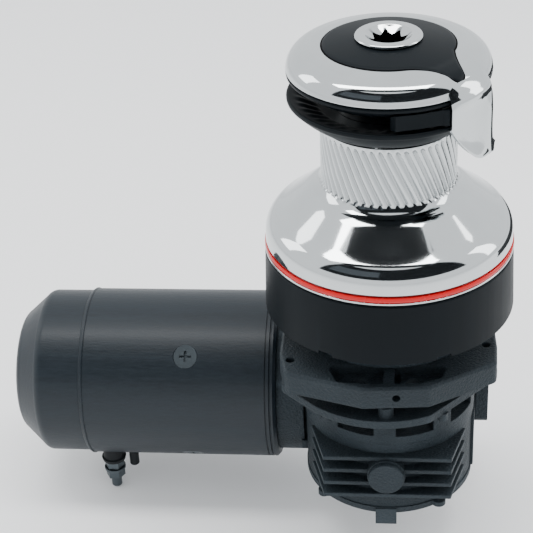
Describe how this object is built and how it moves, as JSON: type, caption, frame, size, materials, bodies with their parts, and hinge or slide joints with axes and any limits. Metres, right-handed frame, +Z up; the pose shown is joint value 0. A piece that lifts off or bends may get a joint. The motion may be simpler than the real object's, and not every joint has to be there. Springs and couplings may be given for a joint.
{
  "type": "electric self-tailing winch",
  "caption": "Upright drum winch for boat lines with a ribbed drum, self-tailing jaws and guide arm, driven by a worm gearbox and a side-mounted motor under the deck.",
  "frame": {"origin": "drum axis at the deck plane, the underside of the base", "axes": "+Z up along the drum axis away from the deck, -X towards the motor, the line guide between +X and -Y"},
  "size_m": [0.3641, 0.203, 0.39],
  "materials": {
    "polished_chrome": "mirror-polished chrome",
    "black_nylon": "satin moulded black",
    "red_band": "gloss red",
    "cast_black": "dark grey anodised casting with a sand-cast grain",
    "motor_black": "satin dark grey enamel",
    "cast_aluminium": "as-cast aluminium",
    "steel": "machined steel",
    "fastener_steel": "stainless steel",
    "black_fastener": "blackened steel",
    "bronze": "machined bronze",
    "magnet_iron": "varnished iron",
    "copper": "copper",
    "carbon": "graphite",
    "insulator": "moulded insulator",
    "seal_rubber": "rubber"
  },
  "bodies": {
    "root": {"center_stem": "steel", "stem_screws": "fastener_steel", "arm_support": "cast_aluminium", "tailing_arm": "polished_chrome", "arm_cover": "black_nylon", "line_peeler": "black_nylon", "shaft_bushes": "bronze", "gear_pins": "steel", "winch_base": "cast_aluminium", "base_skirt": "black_nylon", "trim_lip": "polished_chrome", "trim_ring": "red_band", "deck_collar": "cast_black", "collar_bolts": "fastener_steel", "adapter_plate": "cast_black", "bell_housing": "cast_black", "gear_case": "cast_black", "side_plug": "cast_black", "bottom_cover": "cast_black", "worm_bearing_cap": "cast_black", "case_screws": "black_fastener", "oil_seal": "seal_rubber", "ball_bearings": "steel", "motor_body": "motor_black", "motor_end_plate": "motor_black", "motor_end_cap": "motor_black", "pole_shoes": "magnet_iron", "field_coils": "copper", "pole_screws": "black_fastener", "brush_plate": "insulator", "brushes": "carbon", "terminal_insulator": "insulator", "terminal_stud": "black_fastener", "terminal_nuts": "black_fastener", "breather": "insulator"},
    "drum_body": {"drum": "polished_chrome", "drum_foot": "polished_chrome", "ring_gear": "steel", "drum_screws": "fastener_steel", "upper_jaw": "black_nylon", "jaw_springs": "steel"},
    "lower_jaw_body": {"lower_jaw": "black_nylon"},
    "roller_body": {"rollers": "steel", "roller_cages": "black_nylon"},
    "main_shaft_body": {"main_shaft": "steel", "handle_socket": "polished_chrome", "socket_screw": "fastener_steel", "first_speed_gear": "steel", "pawls": "steel"},
    "idler_body": {"idler_gear": "steel"},
    "second_gear_body": {"second_speed_gear": "steel"},
    "second_pinion_body": {"second_speed_pinion": "steel"},
    "output_body": {"output_shaft": "steel", "shaft_coupling": "steel", "worm_wheel": "bronze", "wheel_hub": "steel"},
    "worm_body": {"worm_shaft": "steel", "armature": "magnet_iron", "armature_shaft": "steel", "commutator": "copper"}
  },
  "joints": [
    {"name": "drum_spin", "type": "hinge", "parent": "root", "child": "drum_body", "pos_m": [0, 0, 0.09], "axis": [0, 0, 1], "continuous": true},
    {"name": "lower_jaw_slide", "type": "slide", "parent": "drum_body", "child": "lower_jaw_body", "axis": [0, 0, -1], "range_m": [0, 0.0025], "stiffness_N_per_m": 6000, "springref_m": -0.002, "deforming": ["jaw_springs"]},
    {"name": "roller_spin", "type": "hinge", "parent": "root", "child": "roller_body", "pos_m": [0, 0, 0.1], "axis": [0, 0, 1], "continuous": true},
    {"name": "main_shaft_spin", "type": "hinge", "parent": "root", "child": "main_shaft_body", "pos_m": [0, 0, 0.05], "axis": [0, 0, 1], "continuous": true},
    {"name": "idler_spin", "type": "hinge", "parent": "root", "child": "idler_body", "pos_m": [0, 0.042, 0.0565], "axis": [0, 0, 1], "continuous": true},
    {"name": "second_gear_spin", "type": "hinge", "parent": "root", "child": "second_gear_body", "pos_m": [0, -0.042, 0.041], "axis": [0, 0, 1], "continuous": true},
    {"name": "second_pinion_spin", "type": "hinge", "parent": "root", "child": "second_pinion_body", "pos_m": [0, -0.042, 0.0565], "axis": [0, 0, 1], "continuous": true},
    {"name": "output_spin", "type": "hinge", "parent": "root", "child": "output_body", "pos_m": [0, 0, -0.1], "axis": [0, 0, 1], "continuous": true},
    {"name": "worm_spin", "type": "hinge", "parent": "root", "child": "worm_body", "pos_m": [0, 0.055, -0.1072], "axis": [1, 0, 0], "continuous": true}
  ],
  "couplings": [
    {"joint": "roller_spin", "follows": "drum_spin", "ratio": 0.56989},
    {"joint": "main_shaft_spin", "follows": "drum_spin", "ratio": -2.5},
    {"joint": "idler_spin", "follows": "drum_spin", "ratio": 3.3333},
    {"joint": "second_gear_spin", "follows": "drum_spin", "ratio": 1},
    {"joint": "second_pinion_spin", "follows": "drum_spin", "ratio": 3.3333},
    {"joint": "output_spin", "follows": "drum_spin", "ratio": -2.5},
    {"joint": "worm_spin", "follows": "drum_spin", "ratio": -53.75}
  ]
}
